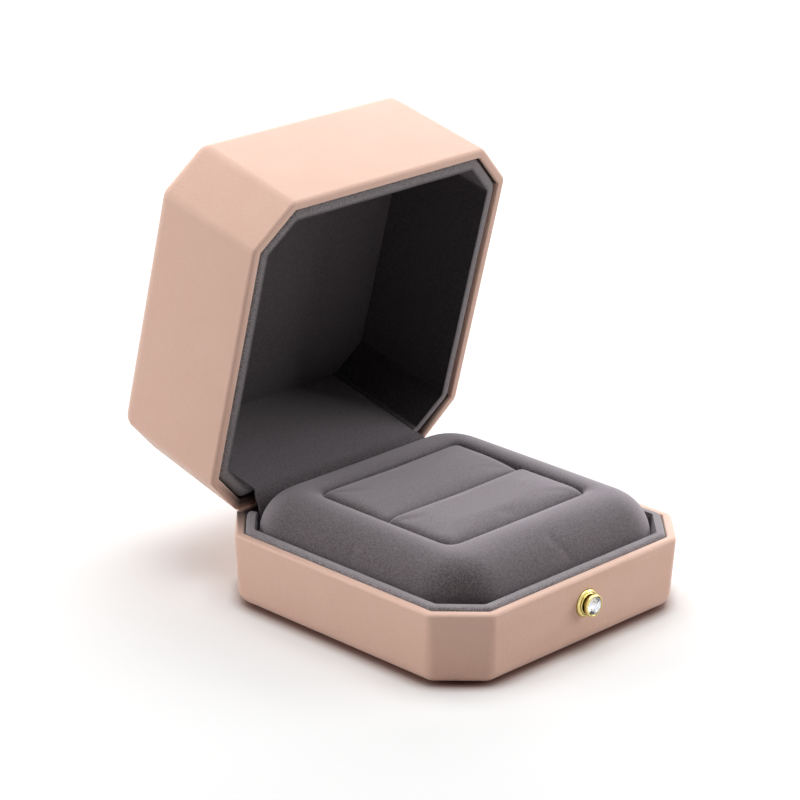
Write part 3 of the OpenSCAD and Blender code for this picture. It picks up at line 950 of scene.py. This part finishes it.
def flapPoint(s, run):
    # a point on the flap's middle line, run metres down from its top edge, as (y, z) off the hinge
    depth = case["flapDepth"]
    if run < s["top"]:
        height = s["top"] - run
        return (-depth * math.cos(openAngle) + height * math.sin(openAngle),
                depth * math.sin(openAngle) + height * math.cos(openAngle))
    turn = openAngle - (run - s["top"]) / depth
    if turn > 0:
        return -depth * math.cos(turn), depth * math.sin(turn)
    return -depth, depth * turn


def flapHalf(s, run):
    # half width: straight in the lid, cut in where it leaves the lid and out again to the base
    def ease(span):
        start, length = span
        share = min(1, max(0, (run - s["top"] - start) / length))
        return share * share * (3 - 2 * share)
    cut = (s["neckHalf"] - s["lidHalf"]) * ease(s["narrows"])
    return s["lidHalf"] + cut + (s["baseHalf"] - s["neckHalf"]) * ease(s["widens"])


def hingeFlap():
    s = flapLook
    length = s["top"] + case["flapDepth"] * openAngle + s["tail"]
    deselect()
    bpy.ops.mesh.primitive_grid_add(x_subdivisions=s["columns"], y_subdivisions=s["rows"], size=2)
    piece = bpy.context.object
    piece.name = "hinge_flap"
    for v in piece.data.vertices:
        run = (1 - v.co.y) / 2 * length
        y, z = flapPoint(s, run)
        v.co = Vector((v.co.x * flapHalf(s, run), hinge.y + y, hinge.z + z))
    area = sum(face.area for face in piece.data.polygons)
    modify(piece, "SOLIDIFY", thickness=s["thickness"], offset=0)
    return piece, length, area


def blendAcrossHinge(piece):
    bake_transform(piece)


flap, flapLength, flapArea = hingeFlap()
smooth(flap, 50)
flap.data.materials.append(nap)
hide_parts("hinge_flap_panel", "hinge_flap_bend", "hinge_flap_tail")
blendAcrossHinge(flap)
print("hinge flap made")


# snap spring


def bentSpring():
    # the frame's own strip, copied with its doubled points merged
    deselect()
    shape = frame["nodes"]["hinge_snap_spring"].data.copy()
    shape.materials.clear()
    piece = bpy.data.objects.new("snap_spring_strip", shape)
    bpy.context.scene.collection.objects.link(piece)
    startEdit(piece)
    bpy.ops.mesh.select_all(action="SELECT")
    bpy.ops.mesh.remove_doubles(threshold=0.001 * mm)
    endEdit()
    smooth(piece, 30)
    return piece


snapSpring = bentSpring()
snapSpring.data.materials.append(steel)
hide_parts("hinge_snap_spring")
blendAcrossHinge(snapSpring)
print("snap spring made")


# push button


def turned(name, stations, closeEnd=True):
    # a lathe part about the button's axis: circles of radius r at y, each extruded from the last
    deselect()
    y, radius = stations[0]
    bpy.ops.mesh.primitive_circle_add(vertices=button["sides"], radius=radius, fill_type="NGON",
                                      location=(0, 0, 0))
    piece = bpy.context.object
    piece.name = name
    startEdit(piece)
    bpy.ops.mesh.select_all(action="SELECT")
    bpy.ops.transform.translate(value=(0, 0, -y))
    for nextY, nextRadius in stations[1:]:
        bpy.ops.mesh.extrude_region_move(TRANSFORM_OT_translate={"value": (0, 0, y - nextY)})
        bpy.ops.transform.resize(value=(nextRadius / radius, nextRadius / radius, 1),
                                 center_override=(0, 0, -nextY))
        y, radius = nextY, nextRadius
    bpy.ops.mesh.select_all(action="SELECT")
    bpy.ops.mesh.normals_make_consistent(inside=False)
    endEdit()
    piece.matrix_world = (Matrix.Translation((0, 0, button["z"]))
                          @ Matrix.Rotation(math.pi / 2, 4, "X"))
    bpy.ops.object.transform_apply(location=True, rotation=True, scale=True)
    smooth(piece, 35)
    return piece


def roundOver(y, outer, inner, depth, steps=5):
    # stations of a quarter round from radius outer at y to radius inner, depth further out
    return [(y - depth * math.sin(math.pi / 2 * i / steps),
             inner + (outer - inner) * math.cos(math.pi / 2 * i / steps)) for i in range(steps + 1)]


face = button["face"]
bezel = turned("button_flange", [
    (face + 3.0 * mm, 2.35 * mm), (face + 0.02 * mm, 2.35 * mm), (face + 0.02 * mm, 2.72 * mm),
    (face - 0.3 * mm, 2.8 * mm), *roundOver(face - 0.5 * mm, 2.8 * mm, 2.32 * mm, 0.5 * mm),
    (face - 0.92 * mm, 2.26 * mm), (face - 0.95 * mm, 2.2 * mm),
    *roundOver(face - 1.0 * mm, 2.2 * mm, 2.0 * mm, 0.2 * mm, 3),
    (face - 0.8 * mm, 1.95 * mm), (face + 2.0 * mm, 1.9 * mm)])
finishPiece(bezel, "base", "gold", gold, "button_bezel")

head = turned("button_head", [
    (face + 2.3 * mm, 0.8 * mm), (face + 0.4 * mm, 0.8 * mm), (face + 0.4 * mm, 1.8 * mm),
    (face - 1.0 * mm, 1.85 * mm), (face - 1.6 * mm, 1.88 * mm), (face - 1.75 * mm, 1.98 * mm),
    (face - 1.82 * mm, 2.12 * mm), (face - 1.92 * mm, 2.22 * mm),
    *roundOver(face - 2.2 * mm, 2.25 * mm, 1.93 * mm, 0.42 * mm),
    (face - 2.55 * mm, 1.86 * mm), (face - 1.55 * mm, 0.9 * mm), (face - 1.3 * mm, 0.1 * mm)])
finishPiece(head, "button", "gold", gold, "button_plunger")

stone = {
    "radius": 1.9 * mm,
    "girdle": face - 2.48 * mm,
    "crown": 0.55 * mm,
    "table": 0.5,
    "pavilion": 0.95 * mm,
}


def ringOfPoints(mesh, y, radius, count, turn):
    for i in range(count):
        a = 2 * math.pi * (i + turn) / count
        mesh.verts.new((radius * math.cos(a), y, button["z"] + radius * math.sin(a)))


def cutStone():
    s = stone
    shape = bpy.data.meshes.new("button_stone")
    mesh = bmesh.new()
    ringOfPoints(mesh, s["girdle"] - s["crown"], s["radius"] * s["table"], 8, 0)
    ringOfPoints(mesh, s["girdle"] - 0.62 * s["crown"], s["radius"] * 0.79, 8, 0.5)
    ringOfPoints(mesh, s["girdle"], s["radius"], 16, 0)
    ringOfPoints(mesh, s["girdle"] + 0.1 * mm, s["radius"], 16, 0)
    ringOfPoints(mesh, s["girdle"] + 0.55 * s["pavilion"], s["radius"] * 0.5, 8, 0)
    ringOfPoints(mesh, s["girdle"] + s["pavilion"], s["radius"] * 0.06, 8, 0.5)
    bmesh.ops.convex_hull(mesh, input=mesh.verts[:])
    mesh.to_mesh(shape)
    mesh.free()
    piece = bpy.data.objects.new("button_stone", shape)
    bpy.context.scene.collection.objects.link(piece)
    piece.data.materials.append(crystal)
    piece.data.materials.append(foil)
    for facet in piece.data.polygons:
        facet.material_index = 1 if facet.normal.y > 0.2 else 0
    return piece


gem = cutStone()
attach(gem, "button")
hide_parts("button_crystal")
print("button made")


# cloth under the base

underCloth = {
    "inset": 4.4 * mm,
    "low": 0.0,
    "high": 0.42 * mm,
    "edge": 0.2 * mm,
    "cornerRadius": 2 * mm,
}


def undersideCloth():
    s = underCloth
    piece = roundedBlock("underside_cloth", halfWide - s["inset"], s["low"] + s["edge"], s["high"],
                         insetCut(s["inset"]), s["cornerRadius"])
    contour(s["low"] + s["edge"], rollOver(s["edge"]))
    endEdit()
    smooth(piece)
    return piece


cloth = undersideCloth()
finishPiece(cloth, "base", "microfibre", nap, "base_underside_cloth")


# CAD pieces that stay

staying = {
    "base_shell": shellGrey, "lid_shell": shellGrey, "cushion_board": greyboard,
    "hinge_base_leaf": steel, "hinge_lid_leaf": steel, "hinge_pin": steel,
    "base_rivets": steel, "lid_rivets": steel,
    "button_nut": gold, "button_clip": steel, "button_spring": steel,
}
for nodeName, material in staying.items():
    node = frame["nodes"][nodeName]
    for place in node.material_slots:
        place.material = material
    if not node.material_slots:
        node.data.materials.append(material)
print("hardware finished")


# floor, lights, camera

studio = {
    "floorSeen": (0.87, 0.87, 0.87),
    "floorLift": 0.07,
    "fadeFrom": 0.2,              # the floor runs out into white from this far
    "fadeOver": 0.25,
    "floorBounce": (0.66, 0.64, 0.62),
    "contactShadow": (0.3, 0.13, 0.09),    # painted contact shadow, reddish as from the leather's bounce, on the floor right under the case's edge
    "contactShadowReach": 4 * mm,
    "worldLevel": 0.045,
    "lamps": {
        # name: (place, size, power)
        "overhead": ((0.05, 0.05, 0.85), (0.8, 0.8), 6.7),
        "left wall": ((-0.7, 0.52, 0.3), (0.6, 0.5), 3.25),
        "right wall": ((0.7, -0.5, 0.3), (0.6, 0.5), 3.6),
        "backdrop": ((0.6, 0.6, 0.3), (1.2, 0.6), 7.0),
    },
}


def makeFloor():
    deselect()
    bpy.ops.mesh.primitive_plane_add(size=6, location=(0, 0, 0))
    floor = bpy.context.object
    floor.name = "floor"
    f = Finish("pale floor")
    seen = f.node("LightPath", {}, {}, "Is Camera Ray")
    seen = (seen + f.node("LightPath", {}, {}, "Is Glossy Ray")).clamp(0, 1)
    tone = f.blend(seen, studio["floorBounce"], studio["floorSeen"])
    open = f.node("AmbientOcclusion", {"samples": 6}, {"Distance": studio["contactShadowReach"]}, "AO")
    # a painted contact shadow, and less lift, where ambient occlusion finds the case close
    shadowed = f.ramp(open, (0.25, 1), (0.8, 0))
    tone = f.blend(shadowed * 0.9, tone, studio["contactShadow"])
    diffuse = f.node("BsdfDiffuse", {}, {"Color": tone})
    away = f.node("VectorMath", {"operation": "LENGTH"}, {0: f.place}, "Value")
    far = ((away - studio["fadeFrom"]) / studio["fadeOver"]).clamp(0, 1)
    lift = f.node("Emission", {}, {"Strength": seen * (studio["floorLift"] * (1 - shadowed) + far)})
    f.output(f.node("AddShader", {}, {0: diffuse, 1: lift}))
    floor.data.materials.append(f.material)


def areaLight(name, place, size, power):
    deselect()
    bpy.ops.object.light_add(type="AREA", location=place)
    lamp = bpy.context.object
    lamp.name = name
    lamp.data.shape = "RECTANGLE"
    lamp.data.size, lamp.data.size_y = size
    lamp.data.energy = power
    lamp.rotation_mode = "QUATERNION"
    lamp.rotation_quaternion = (Vector(place) - Vector((0, 0, 0.03))).to_track_quat("Z", "Y")


def makeWorld():
    # white where it is seen, directly or in metal and glass, and dim as a light
    world = bpy.data.worlds.new("studio")
    bpy.context.scene.world = world
    world.use_nodes = True
    nodes, links = world.node_tree.nodes, world.node_tree.links
    nodes.clear()
    path = nodes.new("ShaderNodeLightPath")
    seen = path.outputs["Is Camera Ray"]
    for ray in ("Is Glossy Ray", "Is Transmission Ray"):
        either = nodes.new("ShaderNodeMath")
        either.operation = "MAXIMUM"
        links.new(seen, either.inputs[0])
        links.new(path.outputs[ray], either.inputs[1])
        seen = either.outputs[0]
    mix = nodes.new("ShaderNodeMixShader")
    links.new(seen, mix.inputs[0])
    for place, strength in enumerate((studio["worldLevel"], 1)):
        background = nodes.new("ShaderNodeBackground")
        background.inputs["Color"].default_value = (1, 1, 1, 1)
        background.inputs["Strength"].default_value = strength
        links.new(background.outputs[0], mix.inputs[place + 1])
    end = nodes.new("ShaderNodeOutputWorld")
    links.new(mix.outputs[0], end.inputs[0])


view = {
    "azimuth": -45.908,           # degrees
    "elevation": 20.758,
    "roll": 0.795,
    "place": (-425.56 * mm, -397.04 * mm, 260.99 * mm),
    "lens": 147.02,
}


def makeCamera():
    azimuth, elevation, roll = (math.radians(view[k]) for k in ("azimuth", "elevation", "roll"))
    aside = math.cos(elevation)
    back = Vector((math.sin(azimuth) * aside, -math.cos(azimuth) * aside, math.sin(elevation)))
    right = Vector((math.cos(azimuth), math.sin(azimuth), 0))
    up = back.cross(right)
    right, up = (math.cos(roll) * right + math.sin(roll) * up,
                 math.cos(roll) * up - math.sin(roll) * right)
    data = bpy.data.cameras.new("camera")
    data.lens = view["lens"]
    data.sensor_width = 36
    data.clip_start = 0.01
    camera = bpy.data.objects.new("camera", data)
    bpy.context.scene.collection.objects.link(camera)
    turn = Matrix((right, up, back)).transposed().to_4x4()
    camera.matrix_world = Matrix.Translation(view["place"]) @ turn
    bpy.context.scene.camera = camera


makeFloor()
makeWorld()
for lampName, (place, size, power) in studio["lamps"].items():
    areaLight(lampName, place, size, power)
makeCamera()
bpy.context.scene.view_settings.view_transform = "Standard"

print("scene ready")
